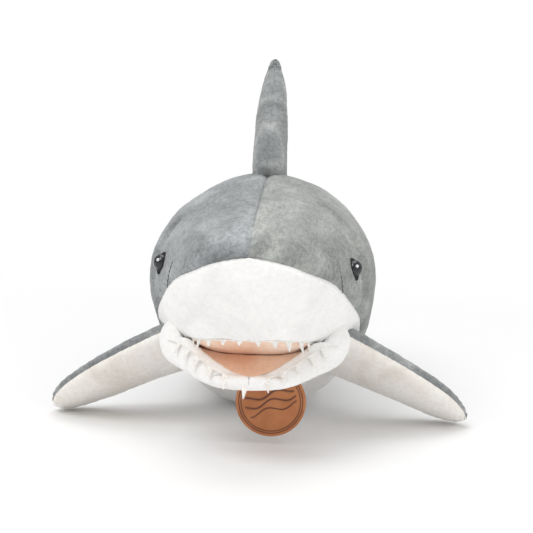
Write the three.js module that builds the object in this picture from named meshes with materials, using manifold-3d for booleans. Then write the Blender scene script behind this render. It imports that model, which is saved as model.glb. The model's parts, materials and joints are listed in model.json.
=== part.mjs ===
// Plush shark: sewn fabric panels over fibre filling, with a soft jaw, fins, tail and a hanging tag.
// Millimetres, +Z up, nose towards -Y, origin on the floor under the middle of the toy.
import * as THREE from 'three';
import { mergeVertices } from 'three/addons/utils/BufferGeometryUtils.js';
import Module from 'manifold-3d';

const wasm = await Module();
wasm.setup();

const V = (x, y, z) => new THREE.Vector3(x, y, z);
const RAD = Math.PI / 180;

// ---- driving dimensions -------------------------------------------------------------------
const NOSE_Y = -255;            // tip of the nose
const NOSE_Z = 132;
const SNOUT_Y = -205;           // where the rounded nose runs into the head
const LIP_FRONT_Y = -238;       // front of the upper lip
const NECK_Y = -155;            // the jaw ends and the throat begins
const FILL_SPLIT_Y = -138;      // head filling meets trunk filling
const TRUNK_END_Y = 112;        // rear edge of the trunk panels
const TAIL_START_Y = 130;
const TAIL_END_Y = 203;
const FABRIC = 2.2;             // plush with its backing
const LINING = 1.6;             // short lining cloth
const FELT = 1.2;
const FILL_INSET = 4.2;         // filling below the outer surface
const SEAM = 0.6;               // gap between two sewn panels

// Trunk profiles along Y: half width, top, bottom, height of the widest place.
const HALF_WIDTH = [[-255, 36], [-230, 41], [-205, 47], [-180, 55], [-150, 64.5], [-110, 73.5],
  [-60, 79], [-10, 78], [50, 70.5], [112, 54], [160, 36], [203, 19.5]];
const TOP = [[-255, 150], [-205, 152], [-150, 159], [-60, 165.5], [0, 162.5], [60, 146], [112, 119],
  [160, 93], [203, 76]];
const BOTTOM = [[-255, 72], [-205, 56], [-165, 51], [-130, 44], [-100, 29], [-75, 13], [-55, 1], [-40, -2], [-20, -3],
  [50, -3], [95, -3], [125, 3], [160, 15], [203, 36]];
const MIDDLE = [[-255, 114], [-205, 110], [-150, 99], [-60, 94], [0, 84], [60, 72], [112, 62],
  [160, 56], [203, 57]];
const LIP_Z = [[-255, 84], [-238, 82], [-205, 76], [-172, 69.5], [-150, 68]];
// Angle of the seam between grey back and pale underside, 0 at the side, 90 on top.
const COLOUR_SEAM = [[-252, 92], [-249.5, 80], [-246, 58], [-240, 44], [-228, 34], [-205, 24],
  [-180, 11], [-150, -3], [-130, -11], [-100, -22], [-60, -32], [0, -35], [112, -30], [203, -22]];

const GREY = { color: 0xa2a5a6, roughness: 0.95 };
const WHITE = { color: 0xf2f0ee, roughness: 0.95 };
const CREAM = { color: 0xeee8de, roughness: 0.95 };
const PEACH = { color: 0xebc0a2, roughness: 0.9 };
const FELT_WHITE = { color: 0xfafafa, roughness: 0.9 };
const FILLING = { color: 0xf4f4f0, roughness: 1 };

// ---- helpers ------------------------------------------------------------------------------
// Smooth curve through a table of [position, value] points.
function curve(table) {
  const slope = table.map((p, i) => {
    const a = table[Math.max(i - 1, 0)], b = table[Math.min(i + 1, table.length - 1)];
    return (b[1] - a[1]) / (b[0] - a[0]);
  });
  return (at) => {
    let i = table.findIndex((p) => p[0] > at) - 1;
    if (i < -1) i = table.length - 2;
    i = Math.max(i, 0);
    const [x0, y0] = table[i], [x1, y1] = table[i + 1], h = x1 - x0;
    const t = Math.min(Math.max((at - x0) / h, 0), 1), t2 = t * t, t3 = t2 * t;
    return (2 * t3 - 3 * t2 + 1) * y0 + (t3 - 2 * t2 + t) * h * slope[i]
      + (3 * t2 - 2 * t3) * y1 + (t3 - t2) * h * slope[i + 1];
  };
}

const span = (a, b, n) => Array.from({ length: n + 1 }, (_, i) => a + (b - a) * i / n);

// Closed body from points and triangles, turned so that its faces point out.
function geometryOf(points, triangles) {
  const g = new THREE.BufferGeometry();
  g.setAttribute('position', new THREE.Float32BufferAttribute(points.flatMap((p) => [p.x, p.y, p.z]), 3));
  const volume = triangles.reduce((sum, [a, b, c]) => (
    sum + points[a].dot(points[b].clone().cross(points[c]))), 0);
  g.setIndex(triangles.flatMap(([a, b, c]) => (volume < 0 ? [a, c, b] : [a, b, c])));
  return g;
}

// Outward normal of a surface f(u, v), by small steps; poles give their own direction.
function normalOf(f, u, v, pole) {
  const e = 2e-3;
  const n = f(u + e, v).sub(f(u - e, v)).cross(f(u, v + e).sub(f(u, v - e)));
  return n.length() < 1e-7 ? pole.clone() : n.normalize();
}

// Closed sheet of the given thickness under a surface. rows are u values, columns(u) gives runs of v
// values: neighbouring values of one run are joined, and runs that meet at a point are welded.
function sheet(f, rows, columns, thickness, options = {}) {
  const { pole = V(0, 0, 1), sign = 1, shape = (p) => p } = options;
  const keys = new Map(), outer = [], inner = [], triangles = [];
  const put = (u, v) => {
    const p = shape(f(u, v), 0);
    const key = [p.x, p.y, p.z].map((c) => Math.round(c * 500)).join();
    if (!keys.has(key)) {
      keys.set(key, outer.length);
      outer.push(p);
      const n = normalOf(f, u, v, pole).multiplyScalar(sign);
      inner.push(shape(f(u, v).addScaledVector(n, -thickness), thickness));
    }
    return keys.get(key);
  };
  const add = (a, b, c) => {
    if (a !== b && b !== c && c !== a) triangles.push([a, b, c]);
  };
  const grid = rows.map((u) => columns(u).map((run) => run.map((v) => put(u, v))));
  for (let i = 0; i + 1 < grid.length; i++) {
    grid[i].forEach((run, r) => run.slice(1).forEach((_, j) => {
      const a = run[j], b = grid[i + 1][r][j], c = grid[i + 1][r][j + 1], d = run[j + 1];
      add(a, b, c);
      add(a, c, d);
    }));
  }
  return thicken(outer, inner, triangles);
}

// Joins an outer and an inner copy of a triangle set with walls along its free edges.
function thicken(outer, inner, triangles) {
  const n = outer.length, seen = new Map();
  for (const t of triangles) {
    for (let k = 0; k < 3; k++) seen.set(t[k] + '_' + t[(k + 1) % 3], true);
  }
  const all = triangles.map((t) => [...t]);
  for (const [a, b, c] of triangles) all.push([a + n, c + n, b + n]);
  for (const key of seen.keys()) {
    const [a, b] = key.split('_').map(Number);
    if (!seen.has(b + '_' + a)) all.push([b, a, a + n], [b, a + n, b + n]);
  }
  return geometryOf([...outer, ...inner], all);
}

// Closed solid through rings of points, with each open end closed by a cone of the given height.
function loft(rings, capStart, capEnd, axis) {
  const points = [], triangles = [], n = rings[0].length;
  rings.forEach((ring) => points.push(...ring));
  for (let i = 0; i + 1 < rings.length; i++) {
    for (let j = 0; j < n; j++) {
      const a = i * n + j, b = i * n + (j + 1) % n, c = a + n, d = b + n;
      triangles.push([a, c, d], [a, d, b]);
    }
  }
  const centre = (ring, push) => ring.reduce((s, p) => s.add(p), V(0, 0, 0))
    .divideScalar(n).addScaledVector(axis, push);
  const first = points.push(centre(rings[0], -capStart)) - 1;
  const last = points.push(centre(rings.at(-1), capEnd)) - 1;
  const base = (rings.length - 1) * n;
  for (let j = 0; j < n; j++) {
    const k = (j + 1) % n;
    triangles.push([first, j, k], [last, base + k, base + j]);
  }
  return geometryOf(points, triangles);
}

// Welded copy of a library shape: one vertex for each point, and no flat triangles.
function welded(geometry) {
  let g = geometry.clone();
  g.deleteAttribute('normal');
  g.deleteAttribute('uv');
  g = mergeVertices(g, 1e-3);
  const index = g.index.array, kept = [];
  for (let i = 0; i < index.length; i += 3) {
    const [a, b, c] = index.slice(i, i + 3);
    if (a !== b && b !== c && c !== a) kept.push(a, b, c);
  }
  g.setIndex(kept);
  return g;
}

function manifold(geometry) {
  const g = welded(geometry);
  return new wasm.Manifold(new wasm.Mesh({
    numProp: 3, vertProperties: new Float32Array(g.attributes.position.array),
    triVerts: new Uint32Array(g.index.array) }));
}

function cut(geometry, ...tools) {
  let solid = manifold(geometry);
  for (const tool of tools) solid = solid.subtract(manifold(tool));
  const mesh = solid.getMesh(), g = new THREE.BufferGeometry();
  g.setAttribute('position', new THREE.BufferAttribute(new Float32Array(mesh.vertProperties), 3));
  g.setIndex(new THREE.BufferAttribute(new Uint32Array(mesh.triVerts), 1));
  return g;
}

function mirror(geometry) {
  const g = geometry.clone().scale(-1, 1, 1), index = g.index.array;
  for (let i = 0; i < index.length; i += 3) [index[i], index[i + 1]] = [index[i + 1], index[i]];
  return g;
}

// The same faces, each listed from its next corner.
function nextCorner(geometry) {
  const g = geometry.clone(), index = g.index.array;
  for (let i = 0; i < index.length; i += 3) index.subarray(i, i + 3).set([index[i + 1], index[i + 2], index[i]]);
  return g;
}

const group = new THREE.Group();
function piece(name, geometry, look) {
  const mesh = new THREE.Mesh(geometry, new THREE.MeshStandardMaterial({ metalness: 0, ...look }));
  mesh.name = name;
  group.add(mesh);
  return mesh;
}

// ---- trunk and head -----------------------------------------------------------------------
const halfWidth = curve(HALF_WIDTH), top = curve(TOP), bottom = curve(BOTTOM);
const middle = curve(MIDDLE), lipZ = curve(LIP_Z), colourSeam = curve(COLOUR_SEAM);

// Station along the body: 0 at the nose tip, 1 at SNOUT_Y, and even steps of Y after it.
const NOSE_LENGTH = SNOUT_Y - NOSE_Y;
const stationY = (u) => (u < 1 ? SNOUT_Y - NOSE_LENGTH * Math.cos(u * Math.PI / 2)
  : SNOUT_Y + NOSE_LENGTH * Math.PI / 2 * (u - 1));
const stationAt = (y) => (y < SNOUT_Y ? Math.acos((SNOUT_Y - y) / NOSE_LENGTH) / (Math.PI / 2)
  : 1 + (y - SNOUT_Y) / (NOSE_LENGTH * Math.PI / 2));

// Trunk skin; the angle runs 0 at +X, 90 on top, 180 at -X, -90 underneath (degrees).
function skin(u, angle) {
  const y = stationY(Math.abs(u)), round = u < 1 ? Math.sin(u * Math.PI / 2) : 1;
  const c = NOSE_Z + (middle(y) - NOSE_Z) * round;
  const rise = Math.sin(angle * RAD) > 0 ? top(y) - NOSE_Z : NOSE_Z - bottom(y);
  const end = Math.sin(angle * RAD) > 0 ? NOSE_Z + rise * round : NOSE_Z - rise * round;
  return V(halfWidth(y) * round * Math.cos(angle * RAD), y,
    c + Math.abs(end - c) * Math.sin(angle * RAD));
}
const skinSurface = (u, v) => skin(u, v * 90);
const FRONT = V(0, -1, 0);

function lipAngle(y) {
  if (y < LIP_FRONT_Y) return -90;
  const round = y < SNOUT_Y ? Math.sin(stationAt(y) * Math.PI / 2) : 1;
  const c = NOSE_Z + (middle(y) - NOSE_Z) * round, b = NOSE_Z - (NOSE_Z - bottom(y)) * round;
  return Math.asin(Math.max(-1, (lipZ(y) - c) / (c - b))) / RAD;
}

const seamAngle = (y) => SEAM / 2 / Math.max(halfWidth(y), 12) / RAD;
const onFloor = (p, depth) => V(p.x, p.y, Math.max(p.z, depth));
const rowsBetween = (y0, y1, n) => span(stationAt(y0), stationAt(y1), n);
const COLUMNS = 9;
// The panels share their rows, so that neighbouring edges run side by side.
const noseRows = [...rowsBetween(-249.2, LIP_FRONT_Y, 4), ...rowsBetween(-234, NECK_Y - SEAM, 9)];
const bodyRows = rowsBetween(-148, TRUNK_END_Y, 14);
const tailRows = rowsBetween(TAIL_START_Y, TAIL_END_Y, 5);

function backPanel(side, rows) {
  return sheet(skinSurface, rows, (u) => {
    const y = stationY(u), gap = seamAngle(y);
    const low = Math.min(colourSeam(y) + gap, 88 - gap), high = 90 - gap;
    const run = side > 0 ? span(low, high, COLUMNS) : span(180 - high, 180 - low, COLUMNS);
    return [run.map((a) => a / 90)];
  }, FABRIC, { pole: FRONT });
}

function bellyPanel(rows) {
  return sheet(skinSurface, rows, (u) => {
    const y = stationY(u), high = colourSeam(y) - seamAngle(y);
    return [span(-180 - high, high, 2 * COLUMNS).map((a) => a / 90)];
  }, FABRIC, { pole: FRONT, shape: onFloor });
}

function snoutPanel() {
  return sheet(skinSurface, [0, 0.1, 0.2, ...noseRows], (u) => {
    const y = stationY(u), high = Math.min(colourSeam(y) - seamAngle(y), 90), low = lipAngle(y);
    return [span(low, high, COLUMNS), span(180 - high, 180 - low, COLUMNS)]
      .map((run) => run.map((a) => a / 90));
  }, FABRIC, { pole: FRONT });
}

const RING = 28;
function fillingRings(rows, floorAt) {
  return rows.map((u) => span(0, 360, RING).slice(1).map((angle) => {
    const v = angle / 90, n = normalOf(skinSurface, u, v, FRONT);
    const p = skinSurface(u, v).addScaledVector(n, -FILL_INSET);
    return V(p.x, p.y, Math.max(p.z, floorAt(p.y)));
  }).reverse());
}

piece('back_panel_left', backPanel(1, [...noseRows, ...bodyRows]), GREY);
piece('back_panel_right', backPanel(-1, [...noseRows, ...bodyRows]), GREY);
piece('snout_panel', snoutPanel(), WHITE);
piece('belly_panel', bellyPanel([stationAt(NECK_Y), ...bodyRows]), CREAM);

const HEAD_FLOOR = 3.4;         // filling stays this far above the lip line, over the palate
const headRings = fillingRings([0.12, ...noseRows, stationAt(-148), stationAt(FILL_SPLIT_Y)],
  (y) => lipZ(y) + HEAD_FLOOR);
const trunkRings = fillingRings(rowsBetween(FILL_SPLIT_Y + 1, TRUNK_END_Y, 12), () => FILL_INSET);
const TAIL_CONE = 7;            // the stuffed ends bulge towards the tail joint
const BACKWARD = V(0, 1, 0);
const headFilling = loft(headRings, 1, 0, BACKWARD);
piece('body_filling', loft(trunkRings, 0, TAIL_CONE, BACKWARD), FILLING);

// ---- eyes ---------------------------------------------------------------------------------
const EYE_Y = -151, EYE_ANGLE = 17, EYE_R = 4.8, SHANK_R = 2, SHANK_LENGTH = 12;
const eyeAt = skin(stationAt(EYE_Y), EYE_ANGLE);
const eyeOut = normalOf(skinSurface, stationAt(EYE_Y), EYE_ANGLE / 90, FRONT);
const eyeTurn = new THREE.Quaternion().setFromUnitVectors(V(0, 1, 0), eyeOut);
const onEye = (geometry, height) => geometry.applyQuaternion(eyeTurn)
  .translate(...eyeAt.clone().addScaledVector(eyeOut, height).toArray());

const lathe = (profile, segments) => welded(
  new THREE.LatheGeometry(profile.map(([r, y]) => new THREE.Vector2(r, y)), segments));
const FELT_STAND = 0.5, EYE_STAND = 1.9;
const dome = span(90, 10, 5).map((a) => [EYE_R * Math.cos(a * RAD), 4.2 * Math.sin(a * RAD)]);
const eye = onEye(lathe([[0, -SHANK_LENGTH], [SHANK_R, -SHANK_LENGTH], [SHANK_R, 0], [EYE_R, 0],
  ...dome.reverse().map(([r, y]) => [Math.max(r, 0), y])], 20), EYE_STAND);
const WASHER_DEPTH = -6.5;
const washer = onEye(lathe([[2.5, -0.8], [7, -0.8], [7, 0.8], [2.5, 0.8], [2.5, -0.8]], 20), WASHER_DEPTH);
const feltShape = new THREE.Shape();
feltShape.moveTo(0, 8.6);
feltShape.bezierCurveTo(5.2, 4.5, 7, 1, 5.6, -2.5);
feltShape.bezierCurveTo(4.4, -5, 1.6, -6, 0, -10);
feltShape.bezierCurveTo(-1.6, -6, -4.4, -5, -5.6, -2.5);
feltShape.bezierCurveTo(-7, 1, -5.2, 4.5, 0, 8.6);
function eyeFelt() {
  const g = new THREE.ExtrudeGeometry(feltShape, { depth: 1, bevelEnabled: false, curveSegments: 5 });
  const up = V(0, 0, 1).addScaledVector(eyeOut, -eyeOut.z).normalize();
  const across = up.clone().cross(eyeOut);
  g.applyMatrix4(new THREE.Matrix4().makeBasis(across, up, eyeOut));
  return welded(g.translate(...eyeAt.clone().addScaledVector(eyeOut, FELT_STAND).toArray()));
}
const shankHole = onEye(new THREE.CylinderGeometry(SHANK_R + 0.6, SHANK_R + 0.6, 40, 16), -10);
const felt = cut(eyeFelt(), shankHole);
const washerPocket = onEye(new THREE.CylinderGeometry(8, 8, 12, 16), -10);
for (const [side, flip] of [['left', (g) => g], ['right', mirror]]) {
  piece(`eye_${side}`, flip(eye), { color: 0x05070a, roughness: 0.08 });
  piece(`eye_felt_${side}`, flip(felt), { color: 0x2c2d30, roughness: 0.95 });
  piece(`eye_washer_${side}`, flip(washer), { color: 0xe8e8e4, roughness: 0.5 });
}
const pockets = [washerPocket, mirror(washerPocket)];
piece('snout_filling', cut(headFilling, ...pockets), FILLING);
for (const name of ['back_panel_left', 'back_panel_right']) {
  const panel = group.getObjectByName(name);
  const hole = name.endsWith('left') ? shankHole : mirror(shankHole);
  panel.geometry = cut(panel.geometry, hole);
}

// Stitched dart ahead of each eye, lying on the fabric.
const dart = new THREE.CatmullRomCurve3(span(18, 0, 4).map((a) => {
  const u = stationAt(-181 - a / 9), n = normalOf(skinSurface, u, a / 90, FRONT);
  return skin(u, a).addScaledVector(n, 1.3);
}));
const threadSection = new THREE.Shape().absarc(0, 0, 0.6, 0, 2 * Math.PI);
const stitch = welded(new THREE.ExtrudeGeometry(threadSection,
  { extrudePath: dart, steps: 8, curveSegments: 3 }));
piece('nostril_stitch_left', stitch, { color: 0x3a3c40, roughness: 0.8 });
piece('nostril_stitch_right', mirror(stitch), { color: 0x3a3c40, roughness: 0.8 });

// ---- mouth --------------------------------------------------------------------------------
const MOUTH_BACK_Y = -176, PALATE_DROOP = 3;
const lipHalf = (y) => skin(stationAt(y), lipAngle(y)).x;
const palateY = (u) => LIP_FRONT_Y + 5 + (MOUTH_BACK_Y - LIP_FRONT_Y - 5) * u;
const palate = (u, v) => {
  const y = palateY(u), back = Math.max(0, u);
  return V((lipHalf(Math.max(y, -237.5)) - 5) * v, y, lipZ(y) - PALATE_DROOP * back * back + 0.8);
};
piece('palate_panel', sheet(palate, span(0, 1, 6), () => [span(-1, 1, 8)], LINING), PEACH);

// Felt strip along a lip, u from 0 to 1: a band with a tooth at every other step. Its normal is taken
// in plan, so that its thickness stays level; splay leans the teeth outwards.
function levelStrip(lineAt, teeth, band, length, splay, drawn) {
  const outer = [], inner = [], triangles = [];
  const n = teeth * 2;
  for (let i = 0; i <= n; i++) {
    const u = i / n, p = lineAt(u), e = 1e-3;
    const along = lineAt(Math.min(u + e, 1)).sub(lineAt(Math.max(u - e, 0))).setZ(0).normalize();
    const out = V(along.y, -along.x, 0);
    const drop = i % 2 ? length * (0.78 + 0.22 * Math.cos(i * 2.4)) : band;
    for (const d of [0, drop]) {
      const q = p.clone().addScaledVector(out, splay * d).setZ(p.z - d);
      outer.push(q.clone().addScaledVector(out, drawn));
      inner.push(q.clone().addScaledVector(out, drawn - FELT));
    }
    if (i < n) {
      const a = 2 * i;
      triangles.push([a, a + 1, a + 3], [a, a + 3, a + 2]);
    }
  }
  return thicken(outer, inner, triangles);
}
// Lip outline from the right corner round the front to the left corner.
function upperLip(u) {
  const t = 2 * u - 1, s = Math.sin(Math.abs(t) * Math.PI / 2);
  const y = LIP_FRONT_Y + 1 + (-180 - LIP_FRONT_Y - 1) * (1 - Math.cos(Math.abs(t) * Math.PI / 2));
  return V(Math.sign(t) * lipHalf(-180) * s, y, lipZ(y) - 0.5);
}
piece('upper_teeth_strip', levelStrip(upperLip, 15, 2, 8.5, 0, -1), FELT_WHITE);

// ---- lower jaw ----------------------------------------------------------------------------
const JAW_FRONT_Y = -219, JAW_BACK_Y = -162.5, JAW_HALF = 48, JAW_FRONT_Z = 54, JAW_BACK_Z = 64;
const jawY = (u) => JAW_BACK_Y - (JAW_BACK_Y - JAW_FRONT_Y) * Math.cos(u * Math.PI / 2);
const jawRound = (u) => Math.sin(Math.min(Math.max(u, 0), 1) * Math.PI / 2);
const jawLip = (y) => JAW_FRONT_Z + (JAW_BACK_Z - JAW_FRONT_Z) * (y - JAW_FRONT_Y) / (JAW_BACK_Y - JAW_FRONT_Y);
const JAW_DEPTH = 13;
// Jaw skin; v runs -1 at the right lip, 0 underneath, 1 at the left lip.
const jaw = (u, v) => {
  const r = Math.sin(u * Math.PI / 2), y = jawY(u);
  return V(JAW_HALF * r * Math.sin(v * Math.PI / 2), y,
    jawLip(y) - JAW_DEPTH * r * Math.cos(v * Math.PI / 2));
};
piece('jaw_panel', sheet(jaw, span(0, 1, 8), () => [span(-1, 1, 14)], FABRIC,
  { pole: FRONT, sign: 1 }), CREAM);
const LINING_SAG = 2;
const jawFloor = (x, y) => jawLip(y) - LINING_SAG + LINING_SAG * Math.min(1, (x / JAW_HALF) ** 2);
const liningAt = (u, v) => {
  const y = jawY(0.3 + 0.45 * u), half = JAW_HALF * jawRound(0.3 + 0.45 * u) - 7;
  return V(half * v, y, jawFloor(half * v, y) + 0.2);
};
piece('jaw_lining', sheet(liningAt, span(0, 1, 5), () => [span(-1, 1, 8)], LINING), PEACH);
const JAW_FILL_TOP = 2.6, JAW_SIDE = 12, JAW_UNDER = 4.4;
const jawRings = span(0.45, 1, 5).map((u) => span(-1, 1, 16).map((v) => {
  const r = jawRound(u), y = jawY(u), x = (JAW_HALF * r - JAW_SIDE) * Math.sin(v * Math.PI / 2);
  const z = jawLip(y) - (JAW_DEPTH * r - JAW_UNDER) * Math.cos(v * Math.PI / 2);
  return V(x, y, Math.min(z, jawFloor(x, y) - JAW_FILL_TOP));
}));
piece('jaw_filling', loft(jawRings, 0, 0, BACKWARD), FILLING);
function lowerLip(u) {
  const t = 2 * u - 1, r = 0.86 * t;
  const y = jawY(Math.abs(2 / Math.PI * Math.asin(r)));
  return V(JAW_HALF * r, y, jawLip(y) + 0.4);
}
piece('lower_teeth_strip', levelStrip(lowerLip, 13, 3, 9, 0.45, 2), FELT_WHITE);

// ---- fins ---------------------------------------------------------------------------------
// A fin surface f(s, a): s from root to tip, angle a round the section, 0 at the rear edge,
// 90 on one face, 180 at the front edge, 270 on the other face.
const FIN_GAP = 3;              // degrees of the section left open at each seam
function finPieces(f, name, looks, place, tipPole, sign) {
  const rows = span(0, 1, 9), at = (s, v) => f(s, v * 90);
  const parts = looks.map(([side, from, look]) => [`${name}_${side}`,
    sheet(at, rows, () => [span(from + FIN_GAP, from + 180 - FIN_GAP, 10).map((a) => a / 90)], FABRIC,
      { pole: tipPole, sign }), look]);
  const rings = span(0, 0.92, 8).map((s) => span(0, 360, 18).slice(1).map((a) => {
    const n = normalOf(at, s, a / 90, tipPole).multiplyScalar(sign);
    return at(s, a / 90).addScaledVector(n, -FILL_INSET);
  }));
  const axis = f(0.92, 90).add(f(0.92, 270)).sub(f(0, 90)).sub(f(0, 270)).normalize();
  parts.push([`${name}_filling`, loft(rings, 0, 0, axis), FILLING]);
  return parts.map(([n, g, look]) => [n, place(g), look]);
}
const roundTip = (s) => Math.sqrt(Math.max(0, 1 - Math.abs(s) ** 5));

// Pectoral fin, built flat: span along +X, front edge towards -Y, then pitched, drooped and placed.
const PEC_SPAN = 88, PEC_ROOT = 76, PEC_TIP = 50, PEC_SWEEP = 16, PEC_HALF = 12.5, PEC_TIP_HALF = 9;
const PEC_PITCH = 27, PEC_DROOP = 24, PEC_ROOT_AT = [66, -100], PEC_CLEAR = 0.6;
const pectoral = (s, a) => {
  const c = (PEC_ROOT + (PEC_TIP - PEC_ROOT) * s) * roundTip(s) / 2;
  const h = (PEC_HALF + (PEC_TIP_HALF - PEC_HALF) * s) * roundTip(s);
  return V(PEC_SPAN * s, PEC_SWEEP * s * s + c * Math.cos(a * RAD), h * Math.sin(a * RAD));
};
const placePectoral = (g) => g.rotateX(-PEC_PITCH * RAD).rotateY(PEC_DROOP * RAD);
const pecParts = finPieces(pectoral, 'fin', [['top_panel', 0, GREY], ['bottom_panel', 180, WHITE]],
  placePectoral, V(1, 0, 0), -1);
const lowest = Math.min(...pecParts.map(([, g]) => {
  g.computeBoundingBox();
  return g.boundingBox.min.z;
}));
for (const [name, g, look] of pecParts) {
  g.translate(PEC_ROOT_AT[0], PEC_ROOT_AT[1], PEC_CLEAR - lowest);
  piece(name.replace('fin', 'fin_left'), name.endsWith('filling') ? nextCorner(g) : g, look);
  piece(name.replace('fin', 'fin_right'), mirror(g), look);
}

// Dorsal fin: span upwards from a base that slopes with the back.
const DORSAL_BASE = 172, DORSAL_TIP = 247, DORSAL_FRONT = -46, DORSAL_BACK = 38, DORSAL_SLOPE = 0.1;
const dorsal = (s, a) => {
  const front = DORSAL_FRONT + 80 * Math.abs(s) ** 1.15, back = DORSAL_BACK - 14 * s + 34 * s * s;
  const c = (back - front) / 2 * roundTip(s), y = (front + back) / 2 + c * Math.cos(a * RAD);
  const h = 12.2 * (1 - 0.35 * s * s) * roundTip(s);
  return V(h * Math.sin(a * RAD), y,
    DORSAL_BASE + (DORSAL_TIP - DORSAL_BASE) * s - DORSAL_SLOPE * (y - DORSAL_FRONT) * (1 - s));
};
for (const [name, g, look] of finPieces(dorsal, 'dorsal', [['left_panel', 0, GREY],
  ['right_panel', 180, GREY]], (g) => g, V(0, 0, 1), 1)) piece(name, g, look);

// ---- tail ---------------------------------------------------------------------------------
piece('tail_back_left', backPanel(1, tailRows), GREY);
piece('tail_back_right', backPanel(-1, tailRows), GREY);
piece('tail_belly', bellyPanel(tailRows), CREAM);
piece('tail_filling', loft(fillingRings(tailRows, () => FILL_INSET), TAIL_CONE, 0, BACKWARD), FILLING);

// Caudal fin: an upright crescent; s runs from the lower tip (-1) to the upper tip (1).
const CAUDAL_MID = 70, CAUDAL_REACH = 66, CAUDAL_FRONT = 214, CAUDAL_NOTCH = 244.4;
const caudal = (t, a) => {
  const s = 2 * t - 1, k = Math.abs(s);
  const front = CAUDAL_FRONT + 25 * k ** 1.6, back = CAUDAL_NOTCH + 19 * k ** 2;
  const c = (back - front) / 2 * Math.sqrt(Math.max(0, 1 - k ** 4));
  return V((10 - 3 * k) * Math.sqrt(Math.max(0, 1 - k ** 4)) * Math.sin(a * RAD),
    (front + back) / 2 + c * Math.cos(a * RAD), CAUDAL_MID + CAUDAL_REACH * s);
};
const caudalAt = (t, v) => caudal(t, v * 90);
for (const [side, from] of [['left', 0], ['right', 180]]) {
  piece(`caudal_${side}_panel`, sheet(caudalAt, span(0.03, 0.97, 14), () => [
    span(from + FIN_GAP, from + 180 - FIN_GAP, 8).map((a) => a / 90)], FABRIC,
  { pole: V(0, 0, 1) }), GREY);
}
piece('caudal_filling', loft(span(0.1, 0.9, 10).map((t) => span(0, 360, 14).slice(1).map((a) => {
  const n = normalOf(caudalAt, t, a / 90, V(0, 0, 1));
  return caudalAt(t, a / 90).addScaledVector(n, -FILL_INSET);
})), 0, 0, V(0, 0, 1)), FILLING);

// ---- label and tag ------------------------------------------------------------------------
const labelAt = skin(stationAt(90), -33);
piece('care_label', new THREE.BoxGeometry(16, 24, 0.8)
  .rotateY(-40 * RAD).translate(labelAt.x + 9.5, labelAt.y, labelAt.z - 8), { color: 0xf6f6f4, roughness: 0.6 });

const TAG_R = 23, TAG_THICK = 1.6, TAG_X = 11, TAG_Y = -158.2;
const TAG_HOLE_AT = TAG_R - 4, TAG_HOLE_Z = 47.2;
const tag = new THREE.CylinderGeometry(TAG_R, TAG_R, TAG_THICK, 40)
  .translate(TAG_X, TAG_Y, TAG_HOLE_Z - TAG_HOLE_AT);
const tagHole = new THREE.CylinderGeometry(1.6, 1.6, 4 * TAG_THICK, 12)
  .translate(TAG_X, TAG_Y, TAG_HOLE_Z);
piece('tag_disc', cut(tag, tagHole), { color: 0xb4733f, roughness: 0.6 });

// Loop of cord through the tag's hole; the tag swings about the middle of this ring.
const LOOP_R = 2.4, LOOP_CORD = 0.5;
piece('tag_loop', welded(new THREE.TorusGeometry(LOOP_R, LOOP_CORD, 6, 16).rotateY(90 * RAD)
  .translate(TAG_X, TAG_Y, TAG_HOLE_Z + LOOP_R)), { color: 0x3a3c40, roughness: 0.8 });

export default group;
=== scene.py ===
"""Plush shark: sewn plush skins, felt teeth, safety eyes and a tag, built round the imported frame."""
import json
import math

import bmesh
import bpy
import numpy as np
from mathutils import Matrix, Vector, noise


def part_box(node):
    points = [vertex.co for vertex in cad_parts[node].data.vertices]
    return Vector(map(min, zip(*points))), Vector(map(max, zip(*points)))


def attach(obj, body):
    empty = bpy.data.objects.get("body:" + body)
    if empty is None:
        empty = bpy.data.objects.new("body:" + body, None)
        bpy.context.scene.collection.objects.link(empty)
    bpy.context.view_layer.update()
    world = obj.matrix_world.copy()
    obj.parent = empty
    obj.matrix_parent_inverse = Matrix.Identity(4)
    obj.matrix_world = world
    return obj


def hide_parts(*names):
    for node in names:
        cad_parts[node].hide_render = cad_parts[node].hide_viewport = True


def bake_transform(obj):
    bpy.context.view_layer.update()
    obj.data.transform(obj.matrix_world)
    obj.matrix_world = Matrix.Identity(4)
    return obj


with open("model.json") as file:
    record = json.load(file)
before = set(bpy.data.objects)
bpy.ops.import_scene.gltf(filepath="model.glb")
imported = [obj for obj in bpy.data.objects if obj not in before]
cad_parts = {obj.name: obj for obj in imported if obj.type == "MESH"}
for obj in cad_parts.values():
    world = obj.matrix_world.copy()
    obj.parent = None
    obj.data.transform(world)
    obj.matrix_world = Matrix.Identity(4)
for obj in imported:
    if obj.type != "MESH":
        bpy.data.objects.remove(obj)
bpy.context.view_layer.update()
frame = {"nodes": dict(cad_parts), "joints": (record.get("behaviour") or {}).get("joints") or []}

MM = 0.001

# ---- camera, light and floor ------------------------------------------------------------------
CAM_AZIMUTH, CAM_ELEVATION, CAM_ROLL = math.radians(2.4), math.radians(7.8), math.radians(1.5)
CAM_TARGET = Vector((0.0035, -0.100, 0.1080))
CAM_DISTANCE = 1.0
CAM_FOCAL_PX, FRAME_PX = 1480.0, 533.0


def make_camera():
    data = bpy.data.cameras.new("camera")
    data.sensor_width = 36.0
    data.lens = 36.0 * CAM_FOCAL_PX / FRAME_PX
    cam = bpy.data.objects.new("camera", data)
    away = Vector((math.sin(CAM_AZIMUTH) * math.cos(CAM_ELEVATION),
                   -math.cos(CAM_AZIMUTH) * math.cos(CAM_ELEVATION), math.sin(CAM_ELEVATION)))
    turn = (-away).to_track_quat("-Z", "Y").to_matrix().to_4x4()
    roll = Matrix.Rotation(CAM_ROLL, 4, "Z")
    cam.matrix_world = Matrix.Translation(CAM_TARGET + away * CAM_DISTANCE) @ turn @ roll
    bpy.context.scene.collection.objects.link(cam)
    bpy.context.scene.camera = cam


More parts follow.
